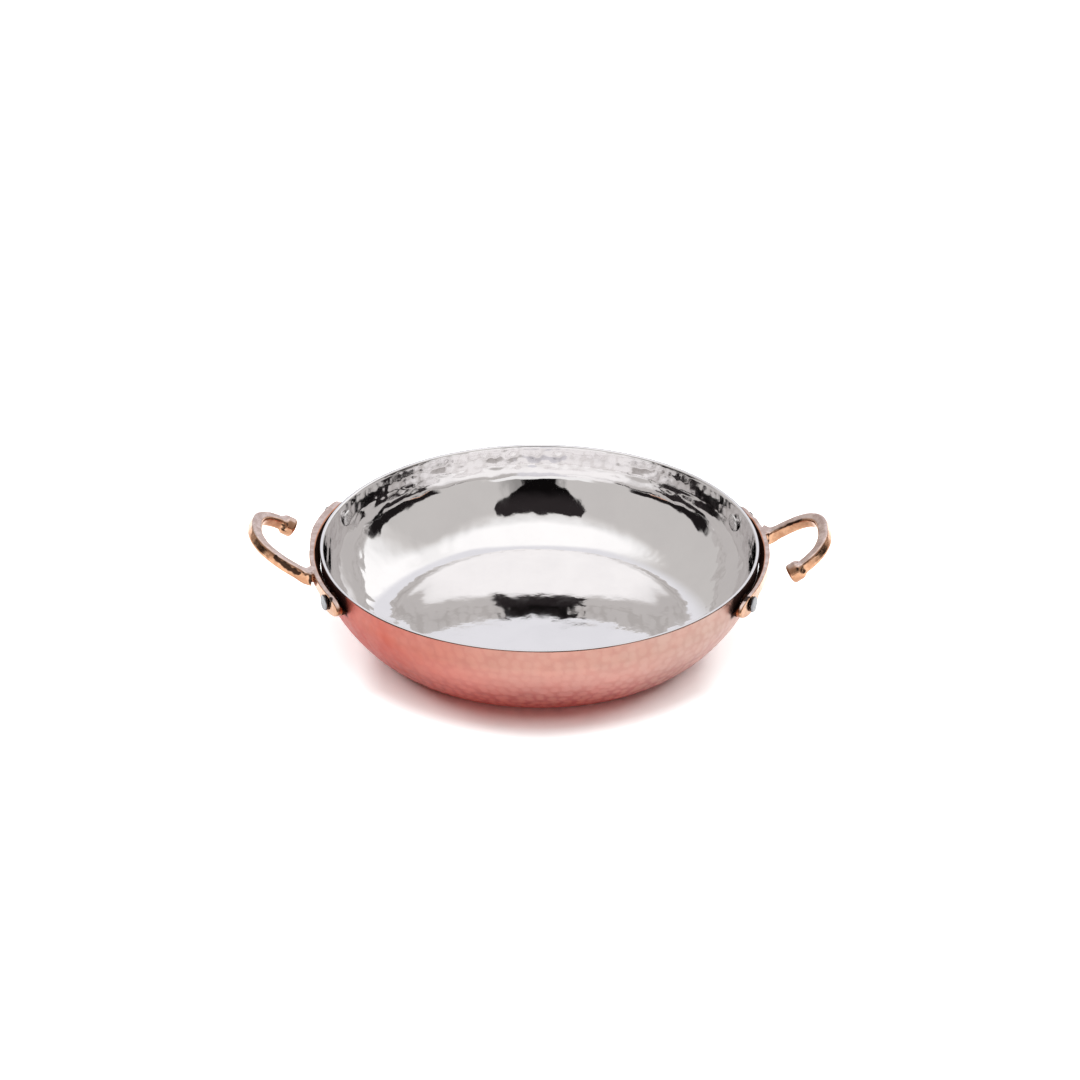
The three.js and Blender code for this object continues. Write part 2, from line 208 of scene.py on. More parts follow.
def waves(P, seed, wave_mm, count, spread=0.45):
    """smooth random swell about 1 high at the points P (in mm)"""
    rng = np.random.default_rng(seed)
    out = np.zeros(P.shape[:-1])
    for _ in range(count):
        k = TAU / (wave_mm * math.exp(rng.uniform(-spread, spread)))
        d = rng.normal(size=3)
        d /= np.linalg.norm(d)
        out = out + np.cos(P @ (d * k) + rng.uniform(0, TAU))
    return out / math.sqrt(count)


# ---- meshes ------------------------------------------------------------------
def mesh_object(name, verts, faces, smooth=True):
    me = bpy.data.meshes.new(name)
    me.from_pydata([tuple(v) for v in verts], [], faces)
    me.validate()
    me.update()
    if smooth:
        me.polygons.foreach_set("use_smooth", [True] * len(me.polygons))
    ob = bpy.data.objects.new(name, me)
    bpy.context.scene.collection.objects.link(ob)
    return ob


def lathe(name, rows_xyz, closed_at_axis=True):
    """rows_xyz: (rows, around, 3). First and last rows lie on the axis."""
    rows, around, _ = rows_xyz.shape
    inner = rows_xyz[1:-1].reshape(-1, 3)
    top, bottom = rows_xyz[0, 0], rows_xyz[-1, 0]
    verts = np.concatenate([inner, [top], [bottom]])
    faces = []
    j = np.arange(around)
    jn = (j + 1) % around
    for i in range(rows - 3):
        a, b = i * around, (i + 1) * around
        faces.extend(zip((a + j).tolist(), (b + j).tolist(), (b + jn).tolist(), (a + jn).tolist()))
    t, q = len(inner), len(inner) + 1
    last = (rows - 3) * around
    faces.extend((t, int(x), int(y)) for x, y in zip(j, jn))
    faces.extend((q, int(last + y), int(last + x)) for x, y in zip(j, jn))
    return mesh_object(name, verts, faces)


def fix_normals(ob):
    import bmesh
    bm = bmesh.new()
    bm.from_mesh(ob.data)
    bmesh.ops.recalc_face_normals(bm, faces=bm.faces)
    bm.to_mesh(ob.data)
    bm.free()
    ob.data.update()


AROUND = 680


def shell(name, face, hidden, displace):
    """A closed shell. face is (s, points, tangents) of the shown side from rim
    to axis, hidden the points of the other side from axis to rim. displace
    moves the shown side away from the pan's axis, in mm."""
    s, pts, tan = face
    theta = np.linspace(0, TAU, AROUND, endpoint=False)
    T, S = np.meshgrid(theta, s)
    R = np.repeat(pts[:, 0][:, None], AROUND, 1)
    P = np.stack([R * np.cos(T), R * np.sin(T), np.repeat(pts[:, 1][:, None], AROUND, 1)], -1)
    h, painted_shade = displace(T, S, R, P)
    nrm = np.stack([-tan[:, 1], tan[:, 0]], -1)
    h[-1] = h[-1].mean()
    rr = R + nrm[:, 0][:, None] * h
    zz = pts[:, 1][:, None] + nrm[:, 1][:, None] * h
    rr[-1] = 0
    rows = np.stack([rr * np.cos(T), rr * np.sin(T), zz], -1)
    hr = np.repeat(hidden[:, 0][:, None], AROUND, 1)
    hz = np.repeat(hidden[:, 1][:, None], AROUND, 1)
    TH = np.repeat(theta[None], len(hidden), 0)
    back = np.stack([hr * np.cos(TH), hr * np.sin(TH), hz], -1)
    allrows = np.concatenate([back, rows]) * MM
    ob = lathe(name, allrows)
    fix_normals(ob)
    # the second value from displace is painted shade on the hammer ridges, kept as the "blow" attribute
    values = np.concatenate([np.zeros((len(hidden), AROUND)), painted_shade])[1:-1].ravel()
    ob.data.attributes.new("blow", "FLOAT", "POINT").data.foreach_set("value", np.concatenate([values, [0, 0]]))
    return ob


OUT = outer_curve()
INN = inner_curve()
OUT_S, INN_S = arc_length(OUT), arc_length(INN)


def offset(curve, dist, every):
    s = arc_length(curve)
    t = np.gradient(curve, s + np.arange(len(s)) * 1e-9, axis=0)
    t /= np.linalg.norm(t, axis=1)[:, None]
    p = curve + np.stack([-t[:, 1], t[:, 0]], -1) * dist
    keep = np.arange(0, len(p), every)
    return p[keep]


# outside: planishing facets, a little deeper low on the side
out_blows = Blows(OUT_S, OUT[:, 0], 5.4, 11, jitter=0.25, tall=0.9)


def displace_out(T, S, R, P):
    d2 = out_blows.height(T, S, R, soft=0.8)
    depth = lerp(1 / (2 * 100), 1 / (2 * 42), ramp(S, 14, 40))
    facets = d2 * depth
    swell = 0.04 * waves(P, 21, 22, 18)
    h = facets + swell
    h = h - np.quantile(h, 0.999)
    h = np.minimum(h, 0)
    # the base stands flat
    onbase = ramp(R, 76, 71)
    h = h * (1 - 0.85 * onbase)
    edge = ramp(S, 0.2, 2.2)
    # how near a point is to the ridges, more so low on the side: painted shade on the copper
    ridge = ramp(d2, 2.2, 7.0) * lerp(0.3, 1.0, ramp(S, 20, 40)) * edge * (1 - onbase)
    return h * edge, ridge


# inside: two rows of sharp dimples under the rim, long waves below
in_blows = Blows(INN_S, INN[:, 0], 5.6, 5, jitter=0.24, tall=0.95)
in_blows_low = Blows(INN_S, INN[:, 0], 9.5, 9, jitter=0.34, tall=1.0)


def displace_in(T, S, R, P):
    # two rows of dimples in the band, which flares out to the rim
    d2 = in_blows.height(T, S, R, soft=0.9)
    uneven = 0.75 + 0.35 * waves(P, 31, 40, 10)
    band = ramp(S, 0.3, 1.4) * ramp(S, 12.0, 9.0)
    low = ramp(S, 7, 15)
    h = band * uneven * (d2 - 4.0) / (2 * 75)
    foot = 11.5 + 0.9 * waves(P * (1, 1, 0), 6, 24, 8)
    h = h + 0.62 * np.clip((S - 1) / (foot - 1), 0, 1) * ramp(S, foot + 8.0, foot - 0.6)
    # long flat blows below, fading out on the floor
    d2l = in_blows_low.height(T, S, R, soft=0.25)
    wall = ramp(R, 70, 84)
    side = ramp(np.abs(np.cos(T)), 0.5, 0.95)
    h = h + low * lerp(0.35, 1, wall) * (d2l - 10) / (2 * 520)
    h = h + low * lerp(0.008, 0.017 + 0.014 * side, wall) * waves(P, 3, 9, 34)
    h = h + 0.03 * ramp(S, 2, 10) * waves(P, 4, 34, 14)
    # a roughly hammered patch at the foot of the wall
    near = np.exp(-(((P[..., 0] - 55) / 13) ** 2 + ((P[..., 1] - 62) / 6) ** 2))
    h = h + near * 0.03 * waves(P, 8, 4.2, 30)
    h = h + low * wall * 0.0055 * waves(P, 13, 4.6, 40)
    h = h + low * wall * side * 0.010 * waves(P * (1, 1, 0.3), 17, 6.5, 40)
    # painted shade on the ridges between the dimples, darkening the lining
    ridge = ramp(d2, 4.8, 8.0) * ramp(S, 1.0, 2.0) * ramp(S, 12.5, 10.5)
    return -h, ridge


copper_face = resample(OUT, lambda s: 0.25 if s < 0.6 else (1.0 if s < OUT_S[-1] - 76 else 4.0))
lining_face_s = resample(INN, lambda s: 0.75 if s < 16 else (1.0 if s < INN_S[-1] - 70 else 1.7))

copper_hidden = offset(OUT[40:], -0.95, 170)[::-1]
copper_hidden[0] = (0, copper_hidden[0][1])
copper_hidden = np.concatenate([copper_hidden, [[109.05, PAN_H - 1.4], [109.25, PAN_H - 0.75]]])
copper = shell("pan_copper", copper_face, copper_hidden, displace_out)

# the lining turns over the rim: its face starts at the outer lip
lip = np.concatenate([
    [[109.32, PAN_H - 0.52], [109.52, PAN_H - 0.34]],
    arc((109.42, PAN_H - 0.24), 0.22, math.radians(-20), math.radians(90), 6),
    arc((108.85, PAN_H - 0.85), 0.85, math.radians(72), math.radians(180), 12),
])
s0 = arc_length(lip)
t0 = np.gradient(lip, s0, axis=0)
t0 /= np.linalg.norm(t0, axis=1)[:, None]
si, pi_, ti = lining_face_s
lining_face = (
    np.concatenate([s0 - s0[-1] - 0.3, si[1:]]),
    np.concatenate([lip, pi_[1:]]),
    np.concatenate([t0, ti[1:]]),
)
lining_hidden = offset(INN[60:], 0.55, 170)[::-1]
lining_hidden[0] = (0, lining_hidden[0][1])
lining_hidden = np.concatenate([lining_hidden, [[108.75, PAN_H - 1.6], [109.0, PAN_H - 0.9]]])
lining = shell("pan_lining", lining_face, lining_hidden, 
               lambda T, S, R, P: tuple(np.where(S > 0, q, 0) for q in displace_in(T, np.maximum(S, 0), R, P)))

# ---- handles -------------------------------------------------------------------
def rounded_unit(n_side, n_corner):
    """outline of the square -1..1 as (x, y, corner share) with dense corners"""
    pts = []
    for q in range(4):
        a = q * math.pi / 2
        for i in range(n_corner):
            b = a + (i / n_corner) * math.pi / 2
            pts.append(("c", q, b))
        for i in range(n_side):
            pts.append(("s", q, (i + 0.5) / n_side))
    return pts


UNIT = rounded_unit(7, 6)


def box_outline(hx, hy, r):
    """rounded rectangle of half sizes hx, hy and corner radius r"""
    out = []
    corners = [(1, 1), (-1, 1), (-1, -1), (1, -1)]
    for kind, q, v in UNIT:
        cx, cy = corners[q]
        ox, oy = cx * (hx - r), cy * (hy - r)
        if kind == "c":
            out.append((ox + r * math.cos(v), oy + r * math.sin(v)))
        else:
            nx, ny = corners[(q + 1) % 4]
            a = (q + 1) * math.pi / 2
            p0 = (ox + r * math.cos(a), oy + r * math.sin(a))
            p1 = (nx * (hx - r) + r * math.cos(a), ny * (hy - r) + r * math.sin(a))
            out.append((lerp(p0[0], p1[0], v), lerp(p0[1], p1[1], v)))
    return out


def skin(sections):
    """closed tube through a list of sections, with flat ends"""
    n = len(sections[0])
    verts = [v for sec in sections for v in sec]
    faces = []
    for i in range(len(sections) - 1):
        for j in range(n):
            k = (j + 1) % n
            faces.append((i * n + j, i * n + k, (i + 1) * n + k, (i + 1) * n + j))
    faces.append(tuple(reversed(range(n))))
    faces.append(tuple((len(sections) - 1) * n + j for j in range(n)))
    return verts, faces


def strap_sections(plus, minus):
    secs = []
    us = np.sin(np.linspace(-1, 1, 241) * math.pi / 2)
    us = 0.75 * us + 0.25 * np.linspace(-1, 1, 241)
    for u in us:
        half = plus if u > 0 else minus
        end, rivet = half["end"], half["rivet"]
        deg = abs(u) * end
        phi = math.radians(u * end)
        ear = float(ramp(deg, rivet - EAR_LEAD, rivet - EAR_FULL))
        r_in = STRAP_IN_R
        r_out = lerp(STRAP_OUT_R, half["outR"], float(ramp(deg, 0, SWELL)))
        top = PAN_H - lerp(STRAP_DROP, half["drop"] - EAR_H / 2, ear)
        bottom = top - lerp(STRAP_H, EAR_H, ear)
        past = max(0.0, (deg - rivet) / (end - rivet))
        keep = math.sqrt(max(0.02, 1 - past ** 2.4))
        mid, tall = (top + bottom) / 2, (top - bottom) / 2 * keep
        thick = (r_out - r_in) / 2
        r = min(STRAP_EDGE, 0.6 * thick, 0.6 * tall)
        c = (r_in + r_out) / 2
        sec = []
        for x, y in box_outline(thick, tall, r):
            lean = (STRAP_LEAN + 0.75) * (tall - y) / (2 * tall) * (thick - x) / (2 * thick)
            rr = c + x - lean
            sec.append((rr * math.cos(phi), rr * math.sin(phi), mid + y))
        secs.append(sec)
    return secs


hook_up = Vector((-math.sin(HOOK_TILT) * math.cos(HOOK_ROLL), -math.sin(HOOK_ROLL), math.cos(HOOK_TILT) * math.cos(HOOK_ROLL)))
hook_along = Vector((math.cos(HOOK_TILT), 0, math.sin(HOOK_TILT)))
hook_across = hook_along.cross(hook_up).normalized()
hook_start = Vector((HOOK_X, -HOOK_SHIFT, PAN_H - HOOK_DROP))


def hook_points():
    pts = [Vector((ROOT_X, ROOT_Y, PAN_H - ROOT_DROP)),
           Vector((lerp(ROOT_X, HOOK_X, 0.5), ROOT_Y, PAN_H - lerp(ROOT_DROP, HOOK_DROP, 0.32)))]
    n = 30
    for i in range(n + 1):
        a = lerp(-math.pi / 2 + 0.05, math.pi / 2, i / n)
        s = HOOK_REACH * max(0.0, math.cos(a)) ** (2 / HOOK_POWER)
        w = HOOK_HALF_W * math.copysign(abs(math.sin(a)) ** (2 / HOOK_POWER), math.sin(a))
        if a > 0 and s < HOOK_END:
            break
        pts.append(hook_start + hook_along * s + hook_across * w)
    return pts


def smooth_path(pts, per=24):
    """centripetal curve through the points"""
    P = [pts[0] * 2 - pts[1]] + list(pts) + [pts[-1] * 2 - pts[-2]]
    out = []
    for i in range(1, len(P) - 2):
        p0, p1, p2, p3 = P[i - 1], P[i], P[i + 1], P[i + 2]
        t0 = 0.0
        t1 = t0 + (p1 - p0).length ** 0.5
        t2 = t1 + (p2 - p1).length ** 0.5
        t3 = t2 + (p3 - p2).length ** 0.5
        for k in range(per):
            t = lerp(t1, t2, k / per)
            a1 = p0 * ((t1 - t) / (t1 - t0)) + p1 * ((t - t0) / (t1 - t0))
            a2 = p1 * ((t2 - t) / (t2 - t1)) + p2 * ((t - t1) / (t2 - t1))
            a3 = p2 * ((t3 - t) / (t3 - t2)) + p3 * ((t - t2) / (t3 - t2))
            b1 = a1 * ((t2 - t) / (t2 - t0)) + a2 * ((t - t0) / (t2 - t0))
            b2 = a2 * ((t3 - t) / (t3 - t1)) + a3 * ((t - t1) / (t3 - t1))
            out.append(b1 * ((t2 - t) / (t2 - t1)) + b2 * ((t - t1) / (t2 - t1)))
    out.append(pts[-1].copy())
    return out


def hook_sections():
    line = smooth_path(hook_points())
    arr = np.array([list(p) for p in line])
    s = np.concatenate([[0], np.cumsum(np.linalg.norm(np.diff(arr, axis=0), axis=1))])
    length = s[-1]
    at = np.concatenate([np.linspace(0, length - KNOB_LEN - 3, 200), np.linspace(length - KNOB_LEN - 3, length, 60)[1:]])
    tan = np.gradient(arr, s + np.arange(len(s)) * 1e-9, axis=0)
    secs = []
    for q in at:
        p = Vector([np.interp(q, s, arr[:, k]) for k in range(3)])
        t = Vector([np.interp(q, s, tan[:, k]) for k in range(3)]).normalized()
        side = t.cross(hook_up).normalized()
        up = side.cross(t).normalized()
        e = length - q
        flare = 1 + (ROOT_FLARE - 1) * max(0.0, 1 - q / ROOT_LEN) ** 1.5
        widen = 1 + ROOT_WIDEN * max(0.0, 1 - q / ROOT_WIDEN_LEN) ** 2.2
        swell = float(ramp(KNOB_LEN - e, -0.6, 2.6))
        size = lerp(BAR, KNOB_D, swell)
        edge = 1.6
        if e < edge:
            k = 1 - e / edge
            size = lerp(KNOB_FACE, KNOB_D, math.sqrt(max(0.0, 1 - k * k)))
        half = size / 2
        corner = lerp(BAR_ROUND, half * 0.999, swell)
        sec = []
        for x, y in box_outline(half, half, corner):
            v = p + side * (x * widen) + up * (y * flare)
            sec.append((v.x, v.y, v.z))
        secs.append(sec)
    return secs


def boss(sign, half):
    secs = []
    for x in (BOSS_IN_R, STRAP_IN_R + 1.2):
        ring = []
        for i in range(48):
            a = TAU * i / 48
            y, z = BOSS_R * math.cos(a), BOSS_R * math.sin(a)
            ph = math.radians(sign * half["rivet"])
            ring.append((x * math.cos(ph) - y * math.sin(ph), x * math.sin(ph) + y * math.cos(ph), PAN_H - half["drop"] + z))
        secs.append(ring)
    return skin(secs)


# painted shade on the handles, drawn as dark strokes: ends of each stroke, its half width
# and how far it is drawn out (mm, in the pan's frame)
PAINTED_SHADE_STROKES = {
    "handle_cast_right": [
        ((118.6, 19.9, 45.2), (124.0, 19.2, 48.0), 0.55), ((124.5, 19.0, 48.8), (131.5, 16.9, 52.6), 0.75),
        ((115.2, 18.4, 45.0), (115.0, 18.2, 39.5), 0.45), ((101.2, -51.5, 44.0), (102.6, -49.0, 44.6), 0.9),
        ((116.5, -13.2, 52.0), (120.0, -15.5, 52.5), 0.4),
    ],
    "handle_cast_left": [
        ((-131.0, -23.0, 51.6), (-127.0, -24.6, 48.6), 1.1), ((-127.0, -24.6, 48.6), (-119.4, -25.6, 43.6), 1.45),
        ((-113.6, -27.6, 43.2), (-113.2, -28.4, 39.8), 1.0), ((-115.0, -19.8, 45.6), (-117.0, -20.0, 46.6), 0.8),
        ((-129.6, 19.2, 47.8), (-127.2, 18.6, 46.4), 0.5), ((-130.3, 18.6, 45.6), (-127.6, 18.2, 44.6), 0.5),
        ((-102.7, -51.2, 44.6), (-102.0, -52.6, 43.6), 1.0),
    ],
}


def painted_shade_amount(name, P):
    ragged = 0.36 * waves(P, 61, 3.2, 24)
    out = np.zeros(len(P))
    for a, b, w in PAINTED_SHADE_STROKES[name]:
        a, b = np.array(a), np.array(b)
        t = np.clip((P - a) @ (b - a) / ((b - a) @ (b - a)), 0, 1)
        d = np.linalg.norm(P - (a + t[:, None] * (b - a)), axis=1) + ragged * min(1.0, w)
        out = np.maximum(out, ramp(d, w + 0.25, w - 0.25))
    return out


def make_handle(name, plus, minus, turn):
    verts, faces = [], []
    for v, f in (skin(strap_sections(plus, minus)), skin(hook_sections()), boss(1, plus), boss(-1, minus)):
        base = len(verts)
        verts += [(x * MM, y * MM, z * MM) for x, y, z in v]
        faces += [tuple(base + i for i in face) for face in f]
    rough = mesh_object(name + "_rough", verts, faces)
    fix_normals(rough)
    m = rough.modifiers.new("melt", "REMESH")
    m.mode = "VOXEL"
    m.voxel_size = 0.285 * MM
    m.use_smooth_shade = True
    sm = rough.modifiers.new("soften", "SMOOTH")
    sm.factor = 0.5
    sm.iterations = 10
    dg = bpy.context.evaluated_depsgraph_get()
    me = bpy.data.meshes.new_from_object(rough.evaluated_get(dg))
    me.name = name
    bpy.data.objects.remove(rough)
    # the casting is a little uneven
    n = len(me.vertices)
    co, no = np.empty(n * 3), np.empty(n * 3)
    me.vertices.foreach_get("co", co)
    me.vertices.foreach_get("normal", no)
    co, no = co.reshape(-1, 3), no.reshape(-1, 3)
    P = co / MM
    h = 0.05 * waves(P, 41 + turn, 9.0, 20) + 0.014 * waves(P, 51 + turn, 3.8, 24) - 0.09
    h = np.minimum(h, 0.0)
    co = co + no * (h * MM)[:, None]
    me.vertices.foreach_set("co", co.ravel())
    me.update()
    if turn:
        me.transform(Matrix.Rotation(math.pi, 4, "Z"))
        P = P * (-1, -1, 1)
    me.attributes.new("painted_shade", "FLOAT", "POINT").data.foreach_set("value", painted_shade_amount(name, P))
    me.polygons.foreach_set("use_smooth", [True] * len(me.polygons))
    ob = bpy.data.objects.new(name, me)
    bpy.context.scene.collection.objects.link(ob)
    return ob


right = make_handle("handle_cast_right", HALVES["right", "back"], HALVES["right", "front"], False)
left = make_handle("handle_cast_left", HALVES["left", "front"], HALVES["left", "back"], True)

# ---- rivets ---------------------------------------------------------------------
def make_rivet(name, angle, half, seed):
    inner_r = half["inner"]
    wall_in = float(inner_point(half["drop"] + inner_r + 0.6)[0]) * math.cos(math.pi / 60)
    x0 = math.sqrt(wall_in ** 2 - inner_r ** 2) - GAP
    x1 = half["outR"] + GAP
    prof = [(0, x0 - INNER_HEAD_T), (inner_r * 0.35, x0 - INNER_HEAD_T * 0.99), (inner_r * 0.62, x0 - INNER_HEAD_T * 0.95),
            (inner_r * 0.82, x0 - INNER_HEAD_T * 0.82), (inner_r * 0.93, x0 - INNER_HEAD_T * 0.62), (inner_r * 0.985, x0 - INNER_HEAD_T * 0.4),
            (inner_r, x0 - INNER_HEAD_T * 0.2), (inner_r, x0 - 0.01), (inner_r - 0.1, x0), (SHANK_R, x0),
            (SHANK_R, x0 + 0.2), (SHANK_R, x1 - 0.2), (SHANK_R, x1), (HEAD_R - 0.12, x1), (HEAD_R, x1 + 0.1),
            (HEAD_R, x1 + HEAD_T * 0.5), (HEAD_R * 0.985, x1 + HEAD_T * 0.66), (HEAD_R * 0.95, x1 + HEAD_T * 0.8),
            (HEAD_R * 0.88, x1 + HEAD_T * 0.9), (HEAD_R * 0.75, x1 + HEAD_T * 0.96), (HEAD_R * 0.5, x1 + HEAD_T * 0.99),
            (HEAD_R * 0.25, x1 + HEAD_T), (0, x1 + HEAD_T)]
    rng = np.random.default_rng(seed)
    ph = rng.uniform(0, TAU, 6)
    around = 72
    rows = []
    ca, sa = math.cos(math.radians(angle)), math.sin(math.radians(angle))
    for r, x in prof:
        row = []
        for j in range(around):
            a = TAU * j / around
            # heads are not quite round, and their faces have a few flats
            k = 1 - 0.012 * (1 + math.cos(2 * a + ph[0])) - 0.008 * (1 + math.cos(3 * a + ph[1])) if r > SHANK_R else 1
            y, z = r * k * math.cos(a), r * k * math.sin(a)
            dent = 0.05 * (1 + math.cos(0.9 * y + 0.5 * z + ph[2])) * (r / HEAD_R) if r < HEAD_R * 0.9 else 0
            xx = x - dent if x > x1 + HEAD_T * 0.8 else x
            row.append((xx * ca - y * sa, xx * sa + y * ca, PAN_H - half["drop"] + z))
        rows.append(row)
    ob = lathe(name, np.array(rows) * MM)
    fix_normals(ob)
    side = [1.0 if (r > HEAD_R - 0.13 and x1 - 0.1 < x < x1 + HEAD_T * 0.55) else 0.0 for r, x in prof]
    values = [side[i] for i in range(1, len(prof) - 1) for _ in range(around)] + [0.0, 0.0]
    ob.data.attributes.new("edge", "FLOAT", "POINT").data.foreach_set("value", values)
    inner = [1.0 if x < (x0 + x1) / 2 else 0.0 for r, x in prof]
    values = [inner[i] for i in range(1, len(prof) - 1) for _ in range(around)] + [1.0, 0.0]
    ob.data.attributes.new("inner", "FLOAT", "POINT").data.foreach_set("value", values)
    return ob


rivets = {
    "rivet_right_back": make_rivet("rivet_set_right_back", 22.4, HALVES["right", "back"], 1),
    "rivet_right_front": make_rivet("rivet_set_right_front", -24.0, HALVES["right", "front"], 2),
    "rivet_left_back": make_rivet("rivet_set_left_back", 180 - 23.5, HALVES["left", "back"], 3),
    "rivet_left_front": make_rivet("rivet_set_left_front", 180 + 24.0, HALVES["left", "front"], 4),
}

# ---- materials --------------------------------------------------------------------
def new_material(name, base, rough, metallic=1.0):
    m = bpy.data.materials.new(name)
    m.use_nodes = True
    nt = m.node_tree
    b = nt.nodes["Principled BSDF"]
    b.inputs["Base Color"].default_value = (*base, 1)
    b.inputs["Metallic"].default_value = metallic
    b.inputs["Roughness"].default_value = rough
    return m, nt, b


def coords(nt, scale=(1, 1, 1)):
    tc = nt.nodes.new("ShaderNodeTexCoord")
    mp = nt.nodes.new("ShaderNodeMapping")
    mp.inputs["Scale"].default_value = scale
    nt.links.new(tc.outputs["Object"], mp.inputs["Vector"])
    return mp.outputs["Vector"]


def noise(nt, vec, scale, detail=3, rough=0.55, distortion=0.0):
    n = nt.nodes.new("ShaderNodeTexNoise")
    n.inputs["Scale"].default_value = scale
    n.inputs["Detail"].default_value = detail
    n.inputs["Roughness"].default_value = rough
    n.inputs["Distortion"].default_value = distortion
    nt.links.new(vec, n.inputs["Vector"])
    return n.outputs["Fac"]


def remap(nt, value, a, b, lo, hi, smooth=True):
    n = nt.nodes.new("ShaderNodeMapRange")
    n.interpolation_type = "SMOOTHSTEP" if smooth else "LINEAR"
    n.inputs["From Min"].default_value = a
    n.inputs["From Max"].default_value = b
    n.inputs["To Min"].default_value = lo
    n.inputs["To Max"].default_value = hi
    nt.links.new(value, n.inputs["Value"])
    return n.outputs["Result"]


def blend_colour(nt, fac, a, b):
    n = nt.nodes.new("ShaderNodeMix")
    n.data_type = "RGBA"
    nt.links.new(fac, n.inputs["Factor"])
    for sock, v in ((n.inputs[6], a), (n.inputs[7], b)):
        if isinstance(v, tuple):
            sock.default_value = (*v, 1)
        else:
            nt.links.new(v, sock)
    return n.outputs[2]


def bump(nt, b, height, strength, distance, normal=None):
    n = nt.nodes.new("ShaderNodeBump")
    n.inputs["Strength"].default_value = strength
    n.inputs["Distance"].default_value = distance
    nt.links.new(height, n.inputs["Height"])
    if normal is not None:
        nt.links.new(normal, n.inputs["Normal"])
    nt.links.new(n.outputs["Normal"], b.inputs["Normal"])
    return n.outputs["Normal"]


def math_node(nt, op, *args):
    n = nt.nodes.new("ShaderNodeMath")
    n.operation = op
    for i, a in enumerate(args):
        if isinstance(a, (int, float)):
            n.inputs[i].default_value = a
        else:
            nt.links.new(a, n.inputs[i])
    return n.outputs[0]


def axes(nt, vec):
    n = nt.nodes.new("ShaderNodeSeparateXYZ")
    nt.links.new(vec, n.inputs[0])
    return n.outputs


def from_axis(nt, vec):
    """distance from the pan's axis, in metres"""
    x, y, _ = axes(nt, vec)
    return math_node(nt, "SQRT", math_node(nt, "ADD", math_node(nt, "MULTIPLY", x, x), math_node(nt, "MULTIPLY", y, y)))


# copper: satin; painted light makes it redder on the left and paler on the right,
# painted shade makes it dark and dull in the narrow gaps behind the handles
m_copper, nt, b = new_material("copper_satin", (0.48, 0.25, 0.20), 0.4)
v = coords(nt)
x, y, z = axes(nt, v)
mott = noise(nt, v, 90, 4)
# painted light: the copper's colour shifts from red on the left to pale on the right
painted_light_left_mid = blend_colour(nt, remap(nt, x, -0.105, 0.0, 0, 1), (0.385, 0.062, 0.040), (0.390, 0.203, 0.163))
painted_light_tone = blend_colour(nt, remap(nt, x, 0.0, 0.09, 0, 1), painted_light_left_mid, (0.418, 0.272, 0.229))
c1 = blend_colour(nt, remap(nt, mott, 0.35, 0.7, 0, 0.22), painted_light_tone, (0.42, 0.170, 0.136))
c2 = blend_colour(nt, remap(nt, noise(nt, v, 34, 3), 0.4, 0.7, 0, 0.14), c1, (0.45, 0.30, 0.26))
# painted shade: the "blow" attribute darkens the copper on the ridges between the hammer facets
blow = nt.nodes.new("ShaderNodeAttribute")
blow.attribute_name = "blow"
c2 = blend_colour(nt, math_node(nt, "MULTIPLY", blow.outputs["Fac"], 0.55), c2, (0.26, 0.066, 0.061))
# painted shade: the copper is made nearly black and dull in the narrow gaps behind the handles
turn = math_node(nt, "ARCTAN2", math_node(nt, "ABSOLUTE", y), math_node(nt, "ABSOLUTE", x))
ragged = remap(nt, noise(nt, v, 210, 3), 0.3, 0.7, -1.0, 1.0)
turn = math_node(nt, "ADD", turn, math_node(nt, "MULTIPLY", ragged, math.radians(0.35)))
behind = math_node(nt, "MULTIPLY", remap(nt, turn, math.radians(31.3), math.radians(29.7), 0, 1),
                   remap(nt, math_node(nt, "ADD", z, math_node(nt, "MULTIPLY", ragged, 0.0004)), 0.0340, 0.0366, 0, 1))
# painted light: brighter and redder towards the base, most at the front and back
painted_base_light = blend_colour(nt, math_node(nt, "MULTIPLY", remap(nt, z, 0.037, 0.004, 0, 1, smooth=False), remap(nt, math_node(nt, "ABSOLUTE", x, 0.0), 0.072, 0.028, 0.40, 1.0)), (1.0, 1.0, 1.0), (2.35, 2.0, 2.2))
times = nt.nodes.new("ShaderNodeVectorMath")
times.operation = "MULTIPLY"
nt.links.new(c2, times.inputs[0])
nt.links.new(painted_base_light, times.inputs[1])
# painted shade: darker and redder low down on the left
painted_low_left_shade = math_node(nt, "MULTIPLY", remap(nt, z, 0.041, 0.028, 0, 1), remap(nt, x, -0.052, -0.086, 0, 1))
times2 = nt.nodes.new("ShaderNodeVectorMath")
times2.operation = "MULTIPLY"
nt.links.new(times.outputs[0], times2.inputs[0])
nt.links.new(blend_colour(nt, painted_low_left_shade, (1.0, 1.0, 1.0), (0.88, 0.60, 0.54)), times2.inputs[1])
c2 = times2.outputs[0]
c3 = blend_colour(nt, math_node(nt, "MULTIPLY", behind, 0.97), c2, (0.03, 0.012, 0.010))
# painted shade: the copper darkened along its top edge just under the rim, broken by noise
painted_lip_shade = math_node(nt, "MULTIPLY", remap(nt, z, 0.04690, 0.04712, 0, 1), remap(nt, noise(nt, v, 26, 2), 0.40, 0.60, 0.45, 0.95))
c3 = blend_colour(nt, painted_lip_shade, c3, (0.05, 0.022, 0.018))
nt.links.new(c3, b.inputs["Base Color"])
nt.links.new(math_node(nt, "MAXIMUM", remap(nt, noise(nt, v, 160, 3), 0.3, 0.7, 0.36, 0.46), math_node(nt, "MULTIPLY", behind, 0.9)), b.inputs["Roughness"])
fine = noise(nt, coords(nt, (1, 1, 5)), 700, 3)
bump(nt, b, fine, 0.10, 0.0002)

